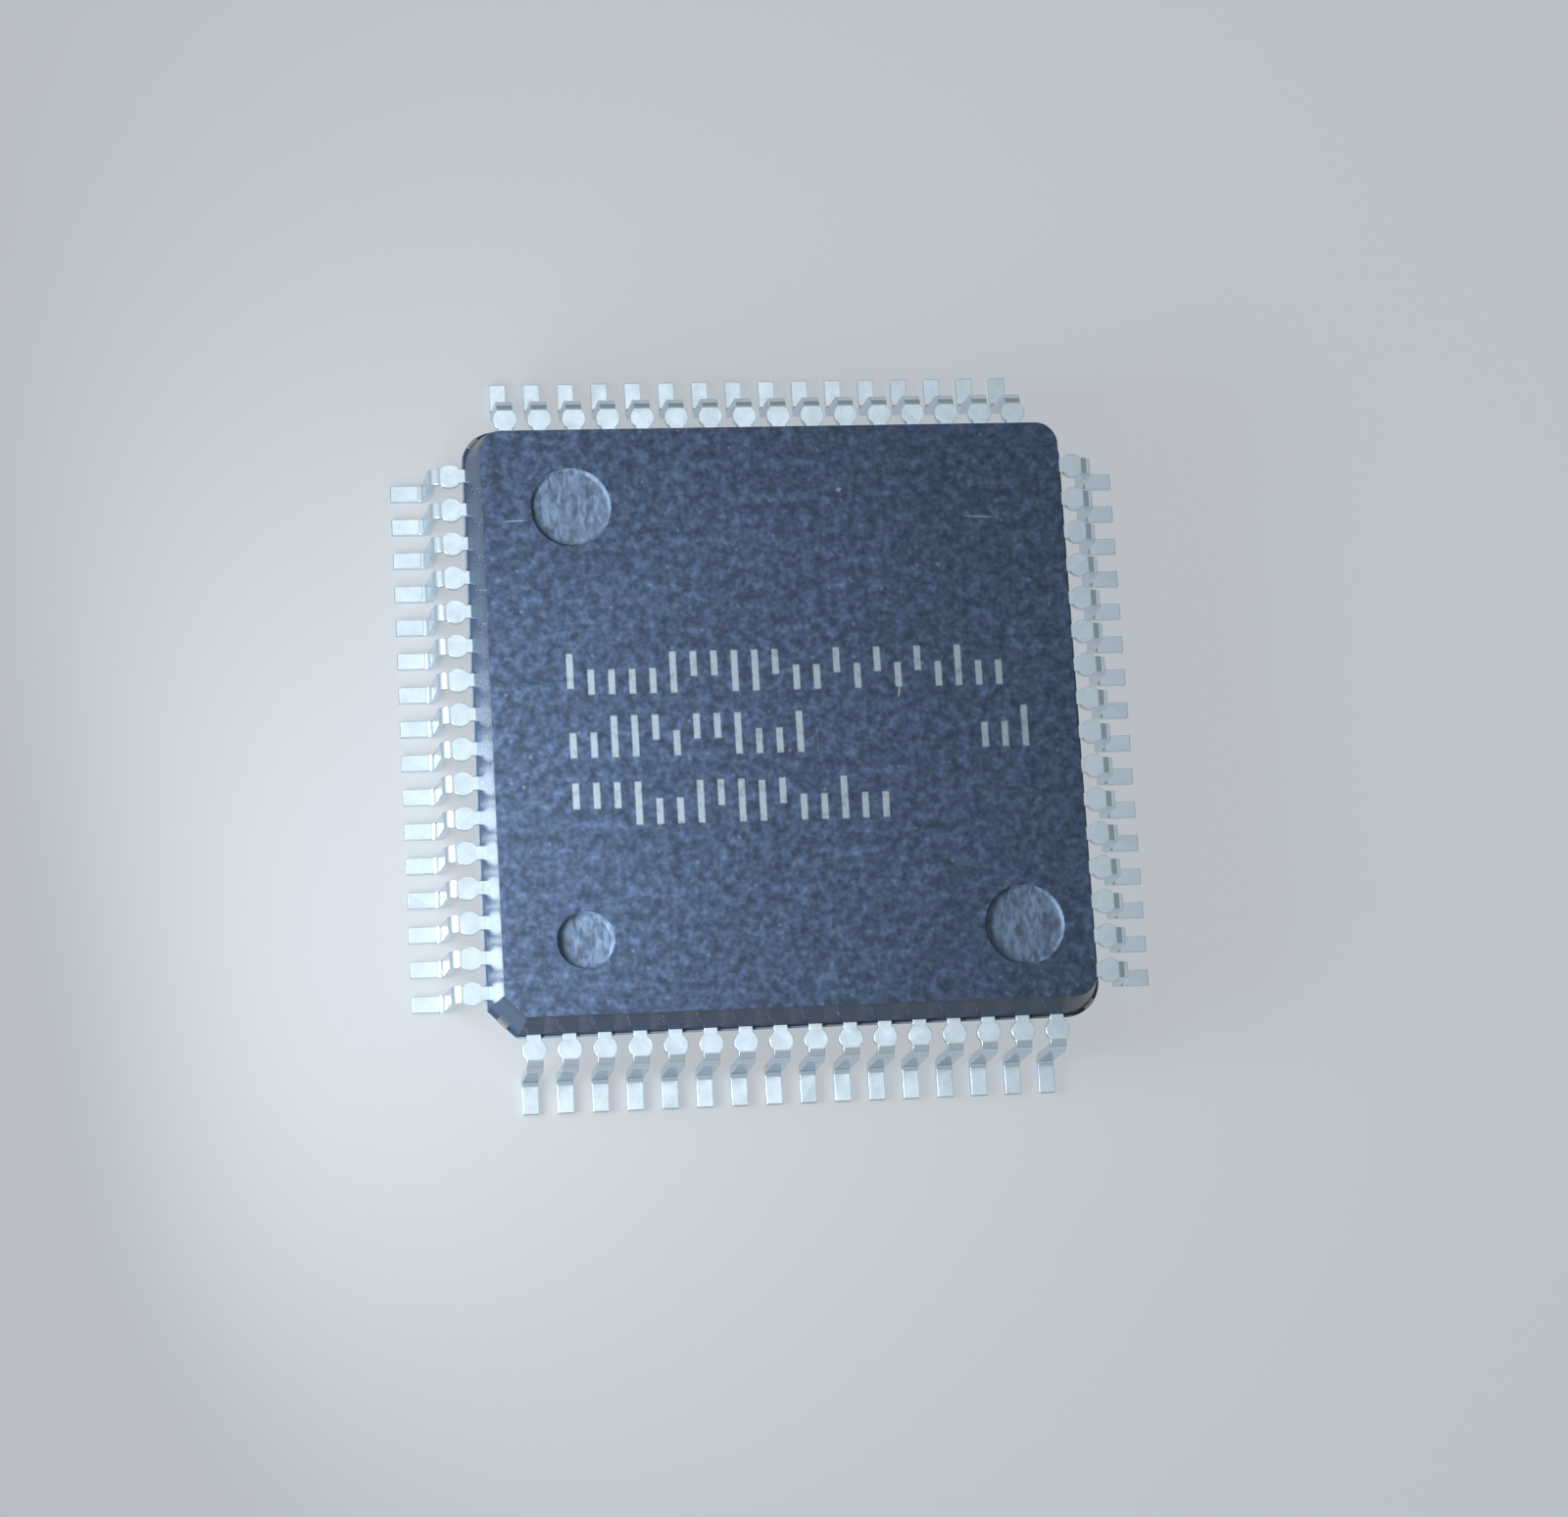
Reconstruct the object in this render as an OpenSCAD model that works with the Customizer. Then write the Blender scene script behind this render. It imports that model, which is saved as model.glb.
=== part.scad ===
// Quad flat pack chip: a moulded square body with gull-wing leads on all four sides.
// Millimetres, +Z up. The origin is on the seating plane under the middle of the body.
// The pin 1 corner, with the chamfer and the index mark, is at -X -Y.

/* [Moulded body] */
// Height of the upper half, from the parting line to the top face
upper_h = 1.25; // [1.1:0.05:1.5]
// Height of the lower half, from the parting line to the underside
lower_h = 1.45; // [0.7:0.05:1.6]
// Gap between the underside and the seating plane
standoff = 0.15; // [0.05:0.05:0.4]
// How far each side of the upper half leans in at the top face
upper_lean = 0.27; // [0.1:0.01:0.4]
// How far each side of the lower half leans in at the underside
lower_lean = 0.31; // [0.1:0.01:0.4]
// Radius of the three plain corners at the parting line
corner_r = 0.78; // [0.45:0.01:0.9]
// Length of the pin 1 chamfer along each side at the parting line
chamfer = 0.65; // [0.4:0.05:0.8]
// How far the flash stands out along the parting line
flash_out = 0.05; // [0.02:0.01:0.1]
// Thickness of the flash
flash_t = 0.04; // [0.02:0.01:0.06]

/* [Marks in the body] */
// Diameter of the ejector marks
ejector_d = 1.84; // [1.2:0.02:2.2]
// Depth of the ejector marks
ejector_depth = 0.1; // [0.02:0.01:0.15]
// Centre of the rear ejector mark, in from the left and rear sides
rear_ejector_in = [2.3, 2.1]; // [1.6:0.05:3]
// Centre of the front ejector mark, in from the right and front sides
front_ejector_in = [1.85, 1.95]; // [1.6:0.05:3]
// Diameter of the index mark
index_d = 1.3; // [0.8:0.02:1.6]
// Depth of the index mark
index_depth = 0.16; // [0.04:0.01:0.2]
// Centre of the index mark, in from the left and front sides
index_in = [2.15, 1.95]; // [1.6:0.05:3]
// How much narrower each mark is at its floor than at its rim, in radius
mark_lean = 0.06; // [0.01:0.01:0.1]
// Centres of the ejector marks in the underside, in from each side
under_ejector_in = 2.2; // [1.6:0.05:3]

/* [Leads] */
// Leads on each side of the body
lead_count = 16; // [8:4:16]
// Distance between neighbouring leads
pitch = 0.8; // [0.65:0.05:1]
// Middle of the first lead, in from the corner of the body
edge_gap = 1; // [0.9:0.05:1.3]
// Width of a lead at its riser and foot
lead_w = 0.37; // [0.25:0.01:0.45]
// Thickness of the lead strip
lead_t = 0.17; // [0.1:0.01:0.22]
// Reach of a lead, from the side of the body to its tip
lead_reach = 1.6; // [1.6:0.05:2]
// Length of the flat under the foot
foot_flat = 0.62; // [0.5:0.02:0.66]
// Straight shoulder between the side of the body and the first bend
shoulder = 0.54; // [0.5:0.02:0.58]
// Inside radius of both bends
bend_r = 0.11; // [0.08:0.01:0.13]
// Width of the neck where the lead leaves the body
neck_w = 0.31; // [0.22:0.01:0.4]
// Diameter of the round left by the trimmed dam bar
head_d = 0.55; // [0.45:0.01:0.6]
// Centre of that round, out from the side of the body
head_out = 0.33; // [0.33:0.01:0.36]

/* [Inner leads] */
// Gap between the inner tips and the die pad
finger_gap = 0.6; // [0.4:0.05:0.8]
// Width of an inner tip
finger_w = 0.24; // [0.16:0.01:0.26]

/* [Die and die pad] */
// Width of the die pad, both ways
pad_w = 7.4; // [6.6:0.1:7.8]
// How far the die pad sits below the leads
pad_drop = 0.25; // [0.2:0.01:0.4]
// Width of a tie bar
tie_w = 0.3; // [0.2:0.02:0.36]
// Gap between a tie bar and the lead beside it, where that lead starts to fan in
tie_gap = 0.09; // [0.05:0.01:0.15]
// Gap between a tie bar and the inner tip beside it
tip_gap = 0.14; // [0.08:0.01:0.2]
// Length of a tie bar's slope
tie_slope = 0.35; // [0.25:0.05:0.5]
// Distance from the pad's corner to a tie bar's slope
tie_level = 0.3; // [0.2:0.05:0.5]
// Thickness of the die attach
attach_t = 0.03; // [0.02:0.01:0.05]
// How far the die attach shows all round the die
attach_rim = 0.1; // [0.05:0.05:0.2]
// Width of the die, both ways
die_w = 5.2; // [4.9:0.1:6]
// Thickness of the die
die_t = 0.3; // [0.2:0.02:0.4]

/* [Bond wires] */
// Width of a bond wire, drawn square in section
wire_w = 0.05; // [0.03:0.01:0.06]
// Middle of a bond pad, in from the edge of the die
bond_in = 0.15; // [0.1:0.01:0.25]
// Middle of the first bond pad of a row, in from the corner of the die
bond_corner = 0.35; // [0.25:0.05:0.6]
// Straight rise of a wire from its bond pad
wire_rise = 0.12; // [0.08:0.01:0.2]
// Radius of a wire's loop above the die
loop_r = 0.16; // [0.1:0.01:0.2]
// Radius of a wire's bend down to its lead
landing_r = 0.3; // [0.2:0.05:0.4]
// Flat end of a wire on its lead
wire_tail = 0.12; // [0.08:0.01:0.2]
// End of a wire, in from the inner tip of its lead
wire_land = 0.22; // [0.16:0.01:0.3]

/* [Hidden] */
SIDES = ["front", "right", "rear", "left"];
GROUPS = [1, 2, 3, 4];

$fn = 48;
mould_colour = [0.2, 0.24, 0.32];
tin_colour = [0.78, 0.8, 0.83];
leadframe_colour = [0.6, 0.59, 0.57];
attach_colour = [0.86, 0.86, 0.88];
silicon_colour = [0.36, 0.37, 0.42];
gold_colour = [0.86, 0.68, 0.3];

// Width of the body at its parting line, both ways, which holds the row of leads
body_w = (lead_count - 1) * pitch + 2 * edge_gap;
half_w = body_w / 2;
parting_z = standoff + lower_h;
top_z = parting_z + upper_h;
// Extra length that carries a cutting shape clear of what it cuts
clear = 1;
// Which way the three plain corners lie from the centre
PLAIN_CORNERS = [[1, -1], [1, 1], [-1, 1]];

// Middle of the strip in a lead's shoulder and in its foot, and its bends at that line
lead_z = parting_z;
foot_z = lead_t / 2;
mid_r = bend_r + lead_t / 2;
tip_x = half_w + lead_reach;
shoulder_bend = [half_w + shoulder, lead_z - mid_r];
foot_bend = [tip_x - foot_flat, foot_z + mid_r];
// Each lead runs straight in to fan_x, then fans in to its tip at finger_x
fan_x = half_w - edge_gap + neck_w / 2 + (tie_w / 2 + tie_gap) * sqrt(2);
finger_x = pad_w / 2 + finger_gap;
corner_tip_y = finger_x - finger_w / 2 - (tie_w / 2 + tip_gap) * sqrt(2);
finger_pitch = 2 * corner_tip_y / (lead_count - 1);
bond_pitch = (die_w - 2 * bond_corner) / (lead_count - 1);

pad_z = lead_z - pad_drop;
pad_top = pad_z + lead_t / 2;
die_z = pad_top + attach_t;
die_top = die_z + die_t;
finger_top = lead_z + lead_t / 2;

// Where item i of a row of n sits, with the row centred on zero
function in_row(i, n, step) = (i - (n - 1) / 2) * step;

// Unit vector to the left of a heading
function left(heading) = [-sin(heading), cos(heading)];

// Heading of the straight between a clockwise bend at a and an anticlockwise one at b,
// where both_r is the sum of their radii
function slope(a, b, both_r) =
    atan2(b[1] - a[1], b[0] - a[0]) - asin(both_r / norm(b - a));

// Points on a bend about c, from one heading to another, in n steps
function turn(c, r, from, to, n) =
    [for (i = [0 : n]) c + r * left(from + (to - from) * i / n)];

// Middle of lead i, at a distance x out from the centre of the package
function lead_y(i, x) =
    let (
        outer = in_row(i, lead_count, pitch),
        inner = in_row(i, lead_count, finger_pitch)
    )
    inner + (outer - inner) * (min(x, fan_x) - finger_x) / (fan_x - finger_x);

// Turns what is drawn on the right-hand side, outwards along +X, to side s of the package
module on_side(s) {
    rotate([0, 0, 90 * (s - 1)]) children();
}

// Plan outline of the body at the parting line, standing out by grow
module plan(grow) {
    side = body_w + 2 * grow;
    difference() {
        square(side, center = true);
        for (c = PLAIN_CORNERS) plan_corner(c[0], c[1], grow);
        rotate(225) translate([(body_w - chamfer) / sqrt(2) + grow, -half_w]) square(body_w);
    }
}

// What rounds the plan outline's corner towards (x, y)
module plan_corner(x, y, grow) {
    translate([x * (half_w - corner_r), y * (half_w - corner_r)]) difference() {
        translate([x * half_w, y * half_w]) square(body_w, center = true);
        circle(corner_r + grow);
    }
}

// One half of the moulding, standing on z = 0 with its sides leaning in
module half_body(h, lean) {
    difference() {
        intersection() {
            leaning_slab(h, lean);
            rotate([0, 0, 90]) leaning_slab(h, lean);
        }
        for (c = PLAIN_CORNERS) body_corner(c[0], c[1], h, lean);
        pin_1_chamfer(h, lean);
    }
}

// A bar along Y whose two sides lean in towards its top
module leaning_slab(h, lean) {
    rotate([90, 0, 0]) linear_extrude(body_w + 2 * clear, center = true) polygon([
        [-half_w, 0],
        [half_w, 0],
        [half_w - lean, h],
        [lean - half_w, h]
    ]);
}

// What rounds the corner towards (x, y): a block with a cone taken out of it
module body_corner(x, y, h, lean) {
    translate([x * (half_w - corner_r), y * (half_w - corner_r), 0]) difference() {
        translate([x * clear, y * clear, h / 2]) cube([2 * clear, 2 * clear, 2 * h], center = true);
        cylinder(h, corner_r, corner_r - lean);
        translate([0, 0, -h]) cylinder(h, corner_r, corner_r);
        translate([0, 0, h]) cylinder(h, corner_r - lean, corner_r - lean);
    }
}

// What cuts the pin 1 corner, leaning in with the sides
module pin_1_chamfer(h, lean) {
    face_x = (body_w - chamfer) / sqrt(2);
    rotate([0, 0, 225]) rotate([90, 0, 0]) linear_extrude(2 * half_w, center = true) polygon([
        [face_x + lean, -h],
        [face_x - 2 * lean, 2 * h],
        [half_w * 2, 2 * h],
        [half_w * 2, -h]
    ]);
}

// A shallow round mark cut down from z = 0
module mark(d, depth) {
    translate([0, 0, -depth]) cylinder(depth, d / 2 - mark_lean, d / 2);
    cylinder(clear, d / 2, d / 2);
}

// The moulding as if it were solid, with its marks and its flash
module moulding() {
    difference() {
        union() {
            translate([0, 0, parting_z]) half_body(upper_h, upper_lean);
            translate([0, 0, parting_z]) mirror([0, 0, 1]) half_body(lower_h, lower_lean);
            translate([0, 0, parting_z - flash_t / 2]) linear_extrude(flash_t) plan(flash_out);
        }
        translate([rear_ejector_in[0] - half_w, half_w - rear_ejector_in[1], top_z])
            mark(ejector_d, ejector_depth);
        translate([half_w - front_ejector_in[0], front_ejector_in[1] - half_w, top_z])
            mark(ejector_d, ejector_depth);
        translate([index_in[0] - half_w, index_in[1] - half_w, top_z]) mark(index_d, index_depth);
        for (turn_z = [0 : 90 : 270])
            rotate([0, 0, turn_z])
                translate([half_w - under_ejector_in, half_w - under_ejector_in, standoff])
                    mirror([0, 0, 1]) mark(ejector_d, ejector_depth);
    }
}

// Moulded epoxy body, with room for everything that is moulded in
module mould_body() {
    color(mould_colour) difference() {
        moulding();
        for (s = [0 : 3])
            on_side(s) for (i = [0 : lead_count - 1]) lead(i);
        pad_and_ties();
        attach_layer();
        silicon();
        for (s = [0 : 3])
            on_side(s) for (i = [0 : lead_count - 1]) wire(i);
    }
}

// Quarter-plane or less about c, between two directions
module wedge(c, from, to) {
    far = 2;
    middle = (from + to) / 2;
    polygon([
        c,
        c + far * [cos(from), sin(from)],
        c + far * [cos(middle), sin(middle)],
        c + far * [cos(to), sin(to)]
    ]);
}

// Side view of a lead: outwards along X, up along Y
module lead_profile() {
    down = slope(shoulder_bend, foot_bend, 2 * mid_r);
    across = lead_t / 2 * left(down);
    top_of_riser = shoulder_bend + mid_r * left(down);
    foot_of_riser = foot_bend - mid_r * left(down);
    translate([finger_x, lead_z - lead_t / 2]) square([shoulder_bend[0] - finger_x, lead_t]);
    intersection() {
        translate(shoulder_bend) ring(bend_r);
        wedge(shoulder_bend, 90, 90 + down);
    }
    polygon([
        top_of_riser + across,
        foot_of_riser + across,
        foot_of_riser - across,
        top_of_riser - across
    ]);
    intersection() {
        translate(foot_bend) ring(bend_r);
        wedge(foot_bend, 270 + down, 270);
    }
    translate([foot_bend[0], 0]) square([foot_flat, lead_t]);
}

// A ring of lead strip seen edge on, with the given inside radius
module ring(inside_r) {
    difference() {
        circle(inside_r + lead_t);
        circle(inside_r);
    }
}

// Plan of lead i: inner finger, neck, dam-bar round, riser and foot
module lead_plan(i) {
    outer_y = lead_y(i, fan_x);
    inner_y = lead_y(i, finger_x);
    head_x = half_w + head_out;
    polygon([
        [finger_x, inner_y - finger_w / 2],
        [fan_x, outer_y - neck_w / 2],
        [head_x, outer_y - neck_w / 2],
        [head_x, outer_y + neck_w / 2],
        [fan_x, outer_y + neck_w / 2],
        [finger_x, inner_y + finger_w / 2]
    ]);
    translate([head_x, outer_y]) circle(d = head_d);
    translate([head_x, outer_y - lead_w / 2]) square([tip_x - head_x, lead_w]);
}

// Lead i of the right-hand side
module lead(i) {
    intersection() {
        rotate([90, 0, 0]) linear_extrude(body_w + 2 * clear, center = true) lead_profile();
        translate([0, 0, -clear]) linear_extrude(parting_z + 2 * clear) lead_plan(i);
    }
}

// Group g of the leads on side s
module leads(s, g) {
    per_group = lead_count / len(GROUPS);
    color(tin_colour) on_side(s)
        for (i = [(g - 1) * per_group : g * per_group - 1]) lead(i);
}

// Side view of a tie bar along its diagonal, out from the centre of the pad
module tie_profile() {
    start = pad_w / sqrt(2) - tie_w;
    slope_start = pad_w / sqrt(2) + tie_level;
    slope_end = slope_start + tie_slope;
    end = half_w * sqrt(2) + clear;
    t = lead_t / 2;
    polygon([
        [start, pad_z - t],
        [slope_start, pad_z - t],
        [slope_end, lead_z - t],
        [end, lead_z - t],
        [end, lead_z + t],
        [slope_end, lead_z + t],
        [slope_start, pad_z + t],
        [start, pad_z + t]
    ]);
}

// Die pad with a tie bar to each corner, cut off flush with the flash
module pad_and_ties() {
    translate([0, 0, pad_z]) cube([pad_w, pad_w, lead_t], center = true);
    intersection() {
        for (turn_z = [45 : 90 : 315])
            rotate([0, 0, turn_z]) rotate([90, 0, 0])
                linear_extrude(tie_w, center = true) tie_profile();
        linear_extrude(top_z) plan(flash_out);
    }
}

module die_pad() {
    color(leadframe_colour) pad_and_ties();
}

// Layer of cured silver epoxy under the die
module attach_layer() {
    attach_w = die_w + 2 * attach_rim;
    translate([0, 0, pad_top + attach_t / 2]) cube([attach_w, attach_w, attach_t], center = true);
}

module die_attach() {
    color(attach_colour) attach_layer();
}

module silicon() {
    translate([0, 0, die_z + die_t / 2]) cube([die_w, die_w, die_t], center = true);
}

module die() {
    color(silicon_colour) silicon();
}

// Side view of a wire that spans run: up from its bond pad at the origin, over its loop,
// down to its lead and flat along it
module wire_profile(run) {
    loop = [loop_r, wire_rise];
    landing = [run - wire_tail, finger_top - die_top + wire_w / 2 + landing_r];
    down = slope(loop, landing, loop_r + landing_r);
    end = [run, finger_top - die_top];
    inside = wire_w / 2;
    polygon(concat(
        [[-inside, 0]],
        turn(loop, loop_r + inside, 90, down, 4),
        turn(landing, inside - landing_r, down, 0, 2),
        [end + [0, wire_w], end],
        turn(landing, -inside - landing_r, 0, down, 2),
        turn(loop, loop_r - inside, down, 90, 4),
        [[inside, 0]]
    ));
}

// Bond wire of lead i of the right-hand side
module wire(i) {
    from = [die_w / 2 - bond_in, in_row(i, lead_count, bond_pitch)];
    land_x = finger_x + wire_land;
    to = [land_x, lead_y(i, land_x)];
    heading = atan2(to[1] - from[1], to[0] - from[0]);
    translate([from[0], from[1], die_top]) rotate([0, 0, heading]) rotate([90, 0, 0])
        linear_extrude(wire_w, center = true) wire_profile(norm(to - from));
}

// Group g of the bond wires on side s
module wires(s, g) {
    per_group = lead_count / len(GROUPS);
    color(gold_colour) on_side(s)
        for (i = [(g - 1) * per_group : g * per_group - 1]) wire(i);
}

mould_body();
die_pad();
die_attach();
die();
for (s = [0 : 3], g = GROUPS) {
    leads(s, g);
    wires(s, g);
}
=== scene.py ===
"""Looks of the quad flat pack chip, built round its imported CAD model.

Lengths are written in millimetres and multiplied by MM. X runs along the front row of leads and
Z is up.
"""

import math

import bpy
from mathutils import Matrix, Vector


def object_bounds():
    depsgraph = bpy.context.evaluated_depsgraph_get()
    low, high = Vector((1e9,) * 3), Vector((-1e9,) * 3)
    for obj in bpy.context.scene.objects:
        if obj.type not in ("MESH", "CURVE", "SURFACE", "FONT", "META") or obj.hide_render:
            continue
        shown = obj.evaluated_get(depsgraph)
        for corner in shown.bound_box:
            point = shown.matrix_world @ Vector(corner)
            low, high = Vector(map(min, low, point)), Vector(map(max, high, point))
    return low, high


MM = 0.001

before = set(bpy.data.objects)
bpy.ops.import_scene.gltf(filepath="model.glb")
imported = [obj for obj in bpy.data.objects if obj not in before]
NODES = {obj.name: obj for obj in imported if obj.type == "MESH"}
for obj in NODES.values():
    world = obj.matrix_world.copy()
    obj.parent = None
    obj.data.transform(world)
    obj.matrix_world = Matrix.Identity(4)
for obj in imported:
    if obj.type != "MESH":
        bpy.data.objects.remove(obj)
cad_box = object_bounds()


# ---------------------------------------------------------------- camera

CAMERA_AT = Vector((-14.61, -18.38, 90.93)) * MM
CAMERA_AIM = Vector((0.09, -0.78, 1.4)) * MM
CAMERA_ROLL = math.radians(3.45)
CAMERA_LENS = 92.2  # millimetres, with the sensor below
SENSOR_WIDTH = 36.0


def add_camera():
    data = bpy.data.cameras.new("camera")
    data.sensor_width = SENSOR_WIDTH
    data.lens = CAMERA_LENS
    data.clip_start = 1 * MM
    data.clip_end = 10000 * MM
    camera = bpy.data.objects.new("camera", data)
    ahead = (CAMERA_AIM - CAMERA_AT).normalized()
    level_up = (Vector((0, 1, 0)) - ahead * ahead.y).normalized()
    up = Matrix.Rotation(CAMERA_ROLL, 3, ahead) @ level_up
    turn = Matrix((ahead.cross(up), up, -ahead)).transposed().to_4x4()
    camera.matrix_world = Matrix.Translation(CAMERA_AT) @ turn
    bpy.context.collection.objects.link(camera)
    bpy.context.scene.camera = camera


# ---------------------------------------------------------------- node-tree helpers

# Where nearly all of a noise texture's output lies
NOISE_LOW = 0.3
NOISE_HIGH = 0.7
BEVEL_SAMPLES = 4
# Shares of a speck's radius at which it starts to fade and is gone
SPECK_CORE = 0.6
SPECK_RIM = 1.2
# Where a scratch starts to fade, as a share of the way to its edge
SCRATCH_CORE = 0.5


class Shader:
    """A material's node tree, with its Principled shader and short ways to add nodes."""

    def __init__(self, name, **values):
        self.material = bpy.data.materials.new(name)
        self.material.use_nodes = True
        self.tree = self.material.node_tree
        self.principled = self.tree.nodes["Principled BSDF"]
        for socket, value in values.items():
            self.principled.inputs[socket.replace("_", " ")].default_value = value
        self.scaled = {}

    def node(self, kind, **settings):
        made = self.tree.nodes.new(kind)
        for name, value in settings.items():
            setattr(made, name, value)
        return made

    def put(self, source, socket):
        """Sets a socket to a number, a colour or another node's output."""
        if isinstance(source, bpy.types.NodeSocket):
            self.tree.links.new(source, socket)
        elif isinstance(source, tuple):
            socket.default_value = source[: len(socket.default_value)]
        else:
            socket.default_value = source

    def place(self, stretch=(1, 1, 1)):
        """Object coordinates in millimetres, stretched along each axis."""
        if stretch not in self.scaled:
            coordinates = self.node("ShaderNodeTexCoord")
            scaled = self.node("ShaderNodeVectorMath", operation="MULTIPLY")
            self.put(coordinates.outputs["Object"], scaled.inputs[0])
            scaled.inputs[1].default_value = [s / MM for s in stretch]
            self.scaled[stretch] = scaled.outputs[0]
        return self.scaled[stretch]

    def axes(self):
        """The three object coordinates in millimetres, apart."""
        split = self.node("ShaderNodeSeparateXYZ")
        self.put(self.place(), split.inputs[0])
        return split.outputs[0], split.outputs[1], split.outputs[2]

    def math(self, operation, a, b=0.0, c=0.0):
        made = self.node("ShaderNodeMath", operation=operation)
        for value, socket in zip((a, b, c), made.inputs):
            self.put(value, socket)
        return made.outputs[0]

    def all_of(self, *masks):
        """Where every mask is 1."""
        joined = masks[0]
        for mask in masks[1:]:
            joined = self.math("MULTIPLY", joined, mask)
        return joined

    def any_of(self, *masks):
        """Where at least one mask is 1."""
        joined = masks[0]
        for mask in masks[1:]:
            joined = self.math("MAXIMUM", joined, mask)
        return joined

    def none_of(self, mask):
        """Where the mask is 0."""
        return self.math("SUBTRACT", 1.0, mask)

    def over(self, value, limit, blur=0.01):
        """1 where value is over limit, 0 below it, over a blurred step."""
        return self.ramp(value, limit - blur / 2, limit + blur / 2)

    def within(self, value, low, high, blur=0.03):
        """1 where value is between low and high, 0 elsewhere, over blurred steps."""
        return self.all_of(self.over(value, low, blur), self.none_of(self.over(value, high, blur)))

    def noise(self, size, detail=2.0, roughness=0.5, stretch=(1, 1, 1), distortion=0.0):
        """Noise with features about size millimetres across."""
        made = self.node("ShaderNodeTexNoise")
        self.put(self.place(stretch), made.inputs["Vector"])
        made.inputs["Scale"].default_value = 1 / size
        made.inputs["Detail"].default_value = detail
        made.inputs["Roughness"].default_value = roughness
        made.inputs["Distortion"].default_value = distortion
        return made.outputs["Fac"]

    def specks(self, spacing, radius, share):
        """Round specks in about the given share of a grid's cells."""
        cells = self.node("ShaderNodeTexVoronoi")
        self.put(self.place(), cells.inputs["Vector"])
        cells.inputs["Scale"].default_value = 1 / spacing
        cells.inputs["Randomness"].default_value = 1.0
        chosen = self.node("ShaderNodeSeparateColor")
        self.put(cells.outputs["Color"], chosen.inputs[0])
        edge = radius / spacing
        return self.all_of(
            self.ramp(cells.outputs["Distance"], edge * SPECK_CORE, edge * SPECK_RIM, 1.0, 0.0),
            self.over(chosen.outputs[0], 1 - share),
        )

    def scratch(self, x, y, length, width, angle):
        """A straight scratch about (x, y), thinning out at both ends."""
        turned = self.node("ShaderNodeMapping", vector_type="TEXTURE")
        self.put(self.place(), turned.inputs["Vector"])
        turned.inputs["Location"].default_value = (x, y, 0)
        turned.inputs["Rotation"].default_value = (0, 0, math.radians(angle))
        turned.inputs["Scale"].default_value = (length / 2, width / 2, 1)
        split = self.node("ShaderNodeSeparateXYZ")
        self.put(turned.outputs[0], split.inputs[0])
        along = self.math("POWER", split.outputs[0], 2.0)
        across = self.math("ABSOLUTE", split.outputs[1])
        return self.ramp(self.math("ADD", along, across), SCRATCH_CORE, 1.0, 1.0, 0.0)

    def ramp(self, value, low, high, at_low=0.0, at_high=1.0):
        """Maps value from low..high to at_low..at_high, held at both ends."""
        made = self.node("ShaderNodeMapRange", clamp=True)
        for number, socket in zip((value, low, high, at_low, at_high), made.inputs):
            self.put(number, socket)
        return made.outputs[0]

    def vary(self, noise, low, high):
        """Maps the range in which nearly all of a noise lies to low..high."""
        return self.ramp(noise, NOISE_LOW, NOISE_HIGH, low, high)

    def blend(self, mask, a, b):
        """The number a where mask is 0 and b where it is 1."""
        made = self.node("ShaderNodeMix", data_type="FLOAT")
        for value, socket in ((mask, 0), (a, 2), (b, 3)):
            self.put(value, made.inputs[socket])
        return made.outputs[0]

    def mix(self, mask, a, b):
        """The colour a where mask is 0 and b where it is 1."""
        made = self.node("ShaderNodeMix", data_type="RGBA")
        for value, socket in ((mask, 0), (a, 6), (b, 7)):
            self.put(value, made.inputs[socket])
        return made.outputs[2]

    def shade(self, colour, value):
        """A colour made lighter or darker by value, where 1 leaves it as it is."""
        made = self.node("ShaderNodeVectorMath", operation="SCALE")
        self.put(colour, made.inputs[0])
        self.put(value, made.inputs["Scale"])
        return made.outputs[0]

    def bump(self, height, depth, edge_r):
        """Bump of the given depth, on edges that shade as if rounded to edge_r."""
        edges = self.node("ShaderNodeBevel", samples=BEVEL_SAMPLES)
        edges.inputs["Radius"].default_value = edge_r * MM
        made = self.node("ShaderNodeBump")
        made.inputs["Distance"].default_value = depth * MM
        self.put(height, made.inputs["Height"])
        self.put(edges.outputs[0], made.inputs["Normal"])
        return made.outputs[0]

    def finish(self, colour=None, roughness=None, normal=None):
        """Feeds the Principled shader and returns the material."""
        for source, name in ((colour, "Base Color"), (roughness, "Roughness"), (normal, "Normal")):
            if source is not None:
                self.put(source, self.principled.inputs[name])
        return self.material


def srgb(red, green, blue):
    """A colour picked on screen, 0 to 255, as the linear colour that a shader takes."""
    linear = [
        ((c / 255 + 0.055) / 1.055) ** 2.4 if c > 10 else c / 3294.6 for c in (red, green, blue)
    ]
    return (*linear, 1.0)


# ---------------------------------------------------------------- materials

MOULD = srgb(62, 77, 101)
MOULD_SIDE = srgb(43, 61, 88)
MOULD_SPECK = srgb(120, 140, 166)
MARK_FLOOR = srgb(98, 116, 140)
PRINT = srgb(158, 172, 182)
# Painted highlight on the flash along the parting line
FLASH_HIGHLIGHT = srgb(128, 142, 156)
TIN = srgb(212, 226, 236)
BARE_ALLOY = srgb(144, 144, 144)
GOLD = srgb(226, 184, 96)
SILVER_EPOXY = srgb(190, 190, 194)
CIRCUIT_COLOURS = (srgb(96, 92, 112), srgb(70, 84, 102), srgb(120, 112, 90))
FLOOR_COLOUR = srgb(233, 240, 247)
# How much of the floor's look is its own even glow, and how much is the light that falls on it
FLOOR_GLOW = 0.56
FLOOR_SHARE = 0.16

TOP_Z = cad_box[1][2] / MM
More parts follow.
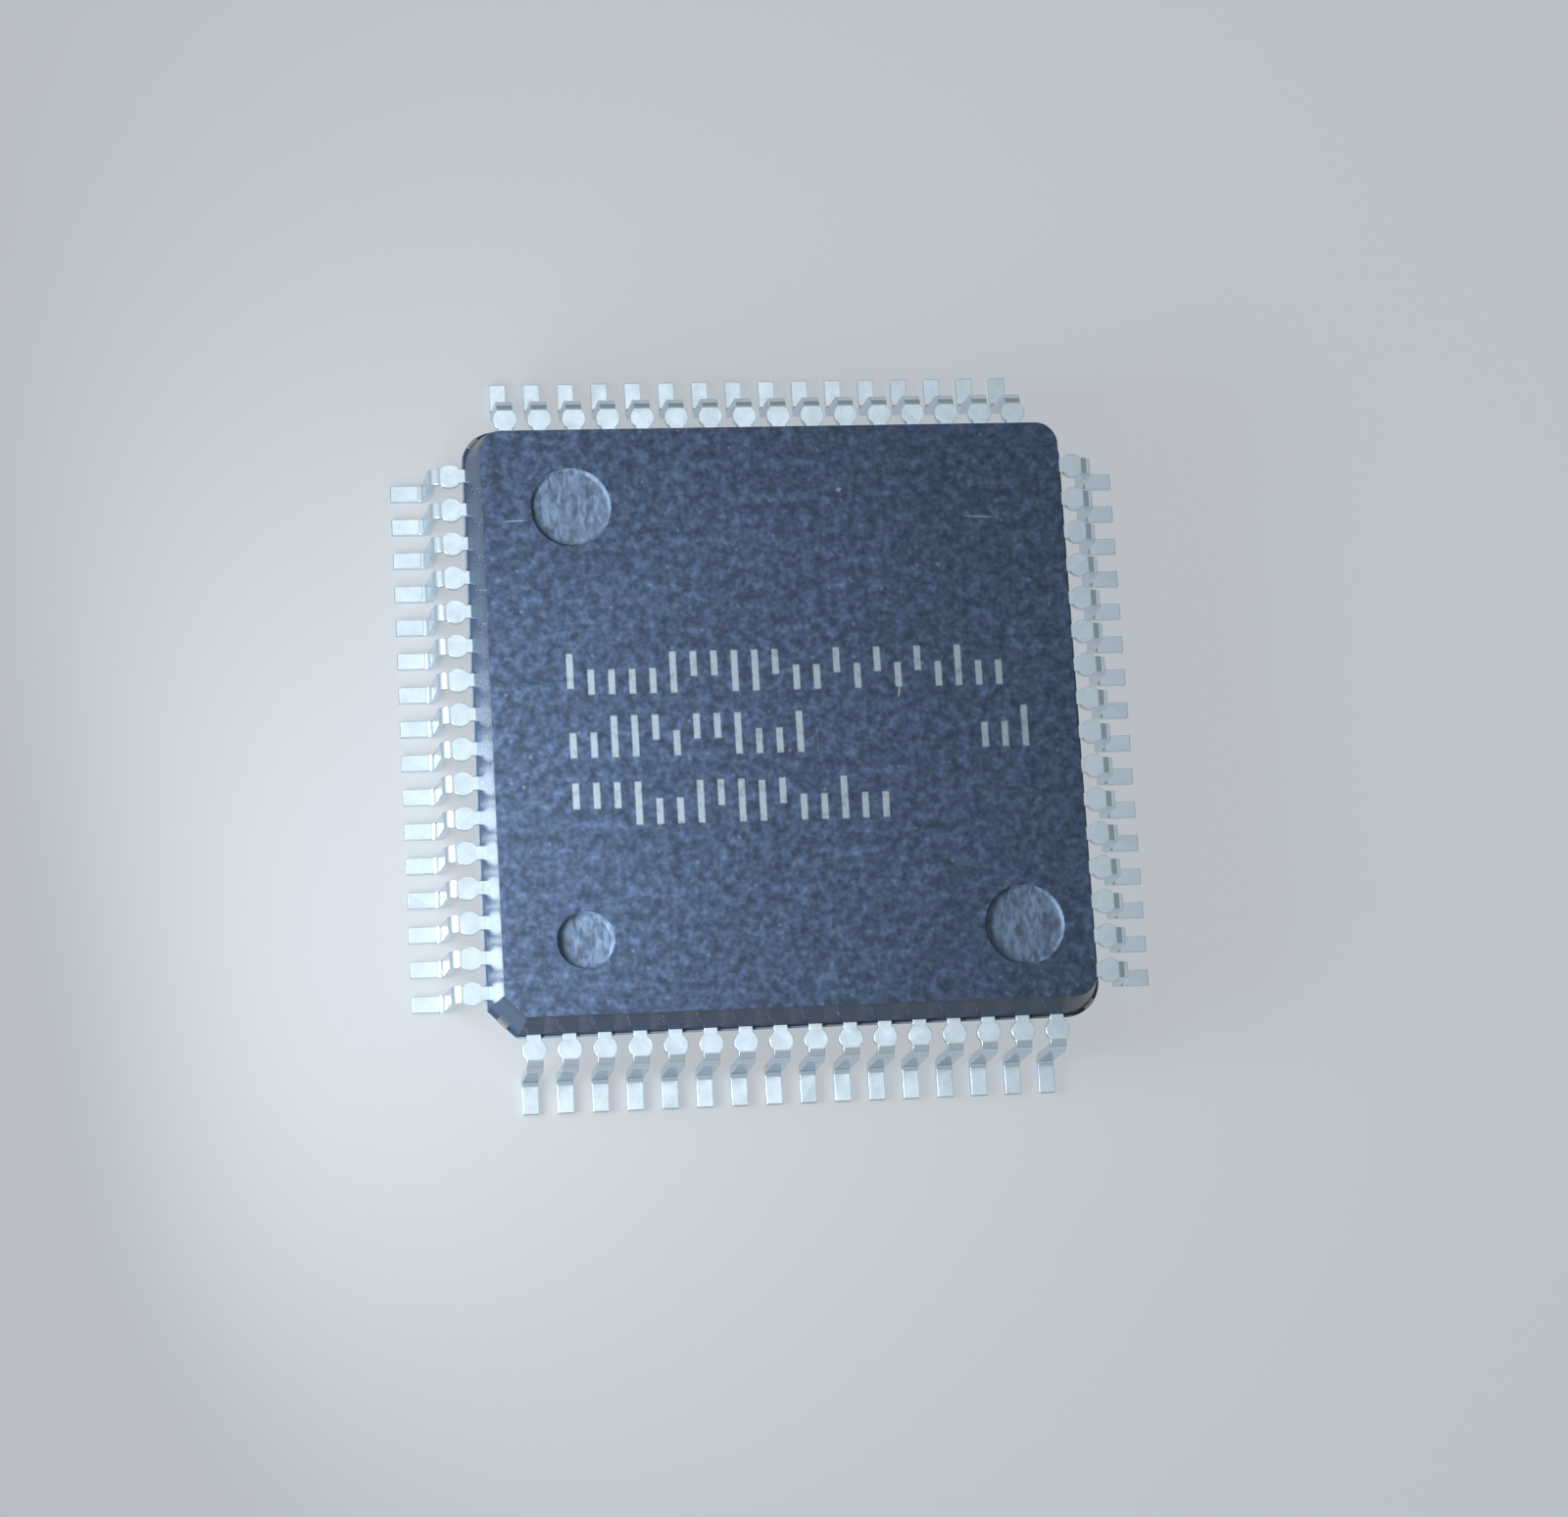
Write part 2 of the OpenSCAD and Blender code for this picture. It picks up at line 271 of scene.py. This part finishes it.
# Distance from the middle to the cut tips of the leads
TIP_REACH = cad_box[1][0] / MM
UNDERSIDE_Z = 0.15
PARTING_Z = 1.6
# What is deeper than this under the top or above the underside is a side or the floor of a mark
FACE_SKIN = 0.005
PRINT_SKIN = 0.01
EDGE_BLUR = 0.004
# How far below the top the painted shade on the sides starts, and from where up it is darkest
SHADE_BAND_FROM = 0.3
SHADE_BAND_TO = 0.12
# The flash along the parting line stands out past this distance from the middle
FLASH_REACH = 7.01
FLASH_HALF = 0.04
# Everything on the top and the underside that is not flat lies inside this distance from the middle
MARKED_HALF = 6.2

# Rows of plain bars in place of the marking: from x, to x, from y, to y
BAR_ROWS = (
    (-5.15, 5.1, 0.53, 1.48),
    (-5.15, 0.65, -0.92, 0.03),
    (4.3, 5.65, -0.92, 0.03),
    (-5.15, 2.37, -2.48, -1.5),
)
BAR_PITCH = 0.47
BAR_W = 0.15
# Each bar draws a number from 0 to 1: under the first it is short and low, over the second short
# and high, and full height between
LOW_BARS_UNDER = 0.42
HIGH_BARS_OVER = 0.72
# How far a short bar runs past the middle of its row
BAR_PAST_MIDDLE = 0.1
# Half the soft edge at a bar's sides, as a share of the pitch, and at its ends
BAR_SIDE_BLUR = 0.03
BAR_END_BLUR = 0.02

# Faint scratches in the top: x, y, length, width and angle in degrees
SCRATCHES = (
    (4.75, 4.5, 0.9, 0.05, -3),
    (-6.0, 4.6, 0.7, 0.04, 2),
    (2.6, 0.42, 0.35, 0.07, 80),
    (1.5, 5.2, 0.16, 0.12, 30),
)


def plan_reach(s, x, y):
    """Distance from the middle in plan, measured to the sides of a square."""
    return s.math("MAXIMUM", s.math("ABSOLUTE", x), s.math("ABSOLUTE", y))


def code_bars(s, x, y):
    """Rows of upright bars, each full height or a short one high or low, in no meaningful order."""
    rows = []
    half_bar = BAR_W / BAR_PITCH / 2
    for left, right, low, high in BAR_ROWS:
        along = s.math("DIVIDE", s.math("SUBTRACT", x, left), BAR_PITCH)
        pick = s.node("ShaderNodeTexWhiteNoise", noise_dimensions="2D")
        cell = s.node("ShaderNodeCombineXYZ")
        s.put(s.math("FLOOR", along), cell.inputs[0])
        cell.inputs[1].default_value = low
        s.put(cell.outputs[0], pick.inputs["Vector"])
        value = pick.outputs["Value"]
        middle = (low + high) / 2
        foot = s.blend(s.over(value, HIGH_BARS_OVER), low, middle - BAR_PAST_MIDDLE)
        head = s.blend(s.over(value, LOW_BARS_UNDER), middle + BAR_PAST_MIDDLE, high)
        across = s.math("ABSOLUTE", s.math("SUBTRACT", s.math("FRACT", along), 0.5))
        bar = s.ramp(across, half_bar - BAR_SIDE_BLUR, half_bar + BAR_SIDE_BLUR, 1.0, 0.0)
        above = s.ramp(s.math("SUBTRACT", y, foot), -BAR_END_BLUR, BAR_END_BLUR)
        below = s.ramp(s.math("SUBTRACT", head, y), -BAR_END_BLUR, BAR_END_BLUR)
        rows.append(s.all_of(bar, above, below, s.within(x, left, right)))
    return s.any_of(*rows)


def mould_compound():
    """Filled epoxy: grainy faces, smoother sides, paler brushed marks and plain bars."""
    s = Shader("mould_compound", Specular_IOR_Level=0.35)
    x, y, z = s.axes()
    off_faces = s.within(z, UNDERSIDE_Z + FACE_SKIN, TOP_Z - FACE_SKIN, blur=EDGE_BLUR)
    outside = s.over(plan_reach(s, x, y), MARKED_HALF)
    side = s.all_of(off_faces, outside)
    inside = s.all_of(off_faces, s.none_of(outside))

    mottle = s.noise(2.6, detail=3.0)
    coarse_grain = s.math("MULTIPLY", s.noise(0.26), 0.6)
    grain = s.math("ADD", coarse_grain, s.math("MULTIPLY", s.noise(0.12), 0.4))
    fine = s.noise(0.06, detail=2.0)
    streak = s.noise(0.22, detail=1.5, stretch=(1.7, 0.8, 1), distortion=0.6)
    specks = s.any_of(s.specks(0.42, 0.045, 0.5), s.specks(1.3, 0.06, 0.4))

    # The grain is mostly dark, with paler filler showing here and there
    filler = s.math("POWER", s.ramp(grain, 0.28, 0.76), 1.8)
    grain_tone = s.ramp(filler, 0.0, 1.0, 0.5, 2.6)
    face_tone = s.math("MULTIPLY", s.vary(mottle, 0.92, 1.08), grain_tone)
    face = s.mix(s.math("MULTIPLY", specks, 0.45), s.shade(MOULD, face_tone), MOULD_SPECK)
    # The print is thinner where the grain is dark
    cover = s.ramp(grain, NOISE_LOW, 0.5, 0.55, 0.95)
    bars = s.all_of(code_bars(s, x, y), s.over(z, TOP_Z - PRINT_SKIN), cover)
    face = s.mix(bars, face, PRINT)
    scratches = s.any_of(*(s.scratch(*scratch) for scratch in SCRATCHES))
    face = s.mix(s.math("MULTIPLY", scratches, 0.6), face, PRINT)

    side_tone = s.math("ADD", s.vary(mottle, 0.84, 1.0), s.vary(fine, -0.05, 0.05))
    # Painted shade: a darker band under the top edge, standing in for the dark reflection along the
    # rounded edge
    painted_shade_band = s.ramp(z, TOP_Z - SHADE_BAND_FROM, TOP_Z - SHADE_BAND_TO, 1.0, 0.6)
    side_tone = s.math("MULTIPLY", side_tone, painted_shade_band)
    # Painted highlight: the flash along the parting line is painted paler, standing in for the
    # light its thin edge catches
    at_parting = s.within(z, PARTING_Z - FLASH_HALF, PARTING_Z + FLASH_HALF)
    flash_highlight = s.all_of(s.over(plan_reach(s, x, y), FLASH_REACH), at_parting)
    wall = s.mix(flash_highlight, s.shade(MOULD_SIDE, side_tone), FLASH_HIGHLIGHT)
    colour = s.mix(side, face, wall)
    colour = s.mix(inside, colour, s.shade(MARK_FLOOR, s.vary(streak, 0.55, 1.5)))

    roughness = s.blend(side, s.vary(grain, 0.6, 0.42), s.vary(fine, 0.28, 0.22))
    roughness = s.blend(inside, roughness, s.vary(streak, 0.5, 0.34))
    height = s.blend(side, grain, s.ramp(fine, 0.0, 1.0, 0.45, 0.55))
    height = s.blend(inside, height, streak)
    return s.finish(colour, roughness, s.bump(height, depth=0.009, edge_r=0.03))


def tin_plate():
    """Matte tin on the leads, each a slightly different tone, with bare alloy at the cut tips."""
    s = Shader("tin_plate", Metallic=1.0)
    x, y, z = s.axes()
    cloud = s.noise(0.35, detail=3.0)
    fine = s.noise(0.1, detail=2.0)
    island = s.node("ShaderNodeNewGeometry").outputs["Random Per Island"]
    tone = s.math("ADD", s.vary(cloud, 0.94, 1.02), s.ramp(island, 0.0, 1.0, -0.06, 0.02))
    tips = s.over(plan_reach(s, x, y), TIP_REACH - FACE_SKIN, blur=EDGE_BLUR)
    colour = s.mix(tips, s.shade(TIN, tone), BARE_ALLOY)
    return s.finish(colour, s.vary(cloud, 0.26, 0.2), s.bump(fine, depth=0.00006, edge_r=0.025))


def plain_metal(name, colour, roughness, grain_size):
    """A metal with fine rolled or drawn grain, for the pieces sealed in the body."""
    s = Shader(name, Metallic=1.0)
    grain = s.noise(grain_size, detail=2.0, stretch=(1, 0.2, 1))
    tone = s.vary(grain, 0.9, 1.06)
    rough = s.vary(grain, roughness, roughness + 0.12)
    return s.finish(s.shade(colour, tone), rough, s.bump(grain, depth=0.002, edge_r=0.02))


def silicon():
    """Polished silicon, its top covered in the fine pattern of its circuits."""
    s = Shader("silicon", Metallic=0.6)
    blocks = s.node("ShaderNodeTexBrick", offset=0.5)
    s.put(s.place(), blocks.inputs["Vector"])
    blocks.inputs["Scale"].default_value = 2.0
    for colour, name in zip(CIRCUIT_COLOURS, ("Color1", "Color2", "Mortar")):
        s.put(colour, blocks.inputs[name])
    rough = s.vary(s.noise(0.2), 0.18, 0.3)
    relief = s.bump(blocks.outputs["Fac"], depth=0.002, edge_r=0.02)
    return s.finish(blocks.outputs["Color"], rough, relief)


def floor_paper():
    """Pale matte floor that looks evenly lit, and still takes the chip's shadow."""
    s = Shader("floor_paper", Specular_IOR_Level=0.1)
    fibre = s.noise(0.5, detail=2.0)
    path = s.node("ShaderNodeLightPath")
    seen = s.math("ADD", path.outputs["Is Camera Ray"], path.outputs["Is Glossy Ray"])
    seen = s.math("MINIMUM", s.math("ADD", seen, path.outputs["Is Transmission Ray"]), 1.0)
    s.put(s.math("MULTIPLY", seen, FLOOR_GLOW), s.principled.inputs["Emission Strength"])
    s.principled.inputs["Emission Color"].default_value = FLOOR_COLOUR
    tone = s.vary(fibre, FLOOR_SHARE * 0.98, FLOOR_SHARE)
    return s.finish(s.shade(FLOOR_COLOUR, tone), roughness=0.9)


# ---------------------------------------------------------------- pieces


def use(node, material):
    """Gives a piece one material."""
    node.data.materials.clear()
    node.data.materials.append(material)


# ---------------------------------------------------------------- stage and light


FLOOR_HALF = 2000
# How far the floor lies under the feet, so that no two faces lie in one plane
FLOOR_DROP = 0.01

LIGHT_COLOUR = (0.92, 0.97, 1.0)
# The way to the bright side of the studio
WINDOW_SIDE = (-0.85, -0.3, 0.42)
# How bright the studio looks in the metal, where 1 is a white card at the plain level
BRIGHT_SIDE = 1.1
DIM_SIDE = 0.33
HORIZON = 0.85
# Where the pale horizon starts to fade and is gone, from 0 level to 1 straight up
HORIZON_FROM = 0.12
HORIZON_TO = 0.35
# How much of that brightness falls on matte surfaces as light
STUDIO_SHARE = 0.25

# Each lamp's name, place, the point it faces, width, depth, radiance and spread in degrees.
# The flat tops of the leads mirror the first. The second lights the face from close by on the
# left, and the left side of the body mirrors it.
LAMPS = (
    ("overhead_softbox", (14, 37, 200), (14, 37, 0), 70, 100, 0.9, 180),
    ("left_softbox", (-16.5, -5, 12), (-1, -1, 7), 9, 18, 11.4, 140),
)


def add_floor():
    mesh = bpy.data.meshes.new("floor")
    half = FLOOR_HALF * MM
    z = -FLOOR_DROP * MM
    corners = [(-half, -half, z), (half, -half, z), (half, half, z), (-half, half, z)]
    mesh.from_pydata(corners, [], [(0, 1, 2, 3)])
    mesh.materials.append(floor_paper())
    floor = bpy.data.objects.new("floor", mesh)
    bpy.context.collection.objects.link(floor)


def add_softbox(name, at, aim, width, depth, radiance, spread):
    """A rectangular lamp that looks radiance times as bright as a white card at the plain level."""
    data = bpy.data.lights.new(name, "AREA")
    data.shape = "RECTANGLE"
    data.size = width * MM
    data.size_y = depth * MM
    data.energy = radiance * math.pi * data.size * data.size_y
    data.color = LIGHT_COLOUR
    data.spread = math.radians(spread)
    lamp = bpy.data.objects.new(name, data)
    ahead = (Vector(aim) - Vector(at)).normalized()
    lamp.location = Vector(at) * MM
    lamp.rotation_mode = "QUATERNION"
    lamp.rotation_quaternion = Vector((0, 0, -1)).rotation_difference(ahead)
    lamp.visible_camera = False
    bpy.context.collection.objects.link(lamp)


def add_fade(tree, value, low, high, at_low, at_high):
    """Maps value from low..high to at_low..at_high in the world's tree, held at both ends."""
    fade = tree.nodes.new("ShaderNodeMapRange")
    fade.interpolation_type = "SMOOTHSTEP"
    tree.links.new(value, fade.inputs["Value"])
    sockets = ("From Min", "From Max", "To Min", "To Max")
    for socket, number in zip(sockets, (low, high, at_low, at_high)):
        fade.inputs[socket].default_value = number
    return fade.outputs[0]


def add_world():
    """A studio that is bright on one side, dim on the other and pale along the horizon."""
    world = bpy.data.worlds.new("studio")
    world.use_nodes = True
    tree = world.node_tree
    background = tree.nodes["Background"]
    coordinates = tree.nodes.new("ShaderNodeTexCoord")
    towards = tree.nodes.new("ShaderNodeVectorMath")
    towards.operation = "DOT_PRODUCT"
    towards.inputs[1].default_value = WINDOW_SIDE
    split = tree.nodes.new("ShaderNodeSeparateXYZ")
    window = add_fade(tree, towards.outputs["Value"], 0.0, 1.0, DIM_SIDE, BRIGHT_SIDE)
    horizon = add_fade(tree, split.outputs["Z"], HORIZON_FROM, HORIZON_TO, HORIZON, 0.0)
    brighter = tree.nodes.new("ShaderNodeMath")
    brighter.operation = "MAXIMUM"
    for source in (towards.inputs[0], split.inputs[0]):
        tree.links.new(coordinates.outputs["Generated"], source)
    tree.links.new(window, brighter.inputs[0])
    tree.links.new(horizon, brighter.inputs[1])
    path = tree.nodes.new("ShaderNodeLightPath")
    mirrored = tree.nodes.new("ShaderNodeMath")
    mirrored.operation = "MAXIMUM"
    tree.links.new(path.outputs["Is Glossy Ray"], mirrored.inputs[0])
    tree.links.new(path.outputs["Is Camera Ray"], mirrored.inputs[1])
    share = add_fade(tree, mirrored.outputs[0], 0.0, 1.0, STUDIO_SHARE, 1.0)
    strength = tree.nodes.new("ShaderNodeMath")
    strength.operation = "MULTIPLY"
    tree.links.new(brighter.outputs[0], strength.inputs[0])
    tree.links.new(share, strength.inputs[1])
    tree.links.new(strength.outputs[0], background.inputs["Strength"])
    background.inputs["Color"].default_value = (*LIGHT_COLOUR, 1)
    bpy.context.scene.world = world


# ---------------------------------------------------------------- the scene

add_camera()
tin = tin_plate()
gold = plain_metal("gold_wire", GOLD, roughness=0.2, grain_size=0.05)
use(NODES["mould_body"], mould_compound())
use(NODES["die_pad"], plain_metal("leadframe_alloy", BARE_ALLOY, 0.35, 0.1))
use(NODES["die_attach"], plain_metal("silver_epoxy", SILVER_EPOXY, 0.5, 0.05))
use(NODES["die"], silicon())
for name, node in NODES.items():
    if name.startswith("leads_"):
        use(node, tin)
    if name.startswith("wires_"):
        use(node, gold)

add_floor()
add_world()
for lamp in LAMPS:
    add_softbox(*lamp)
bpy.context.scene.view_settings.view_transform = "Standard"
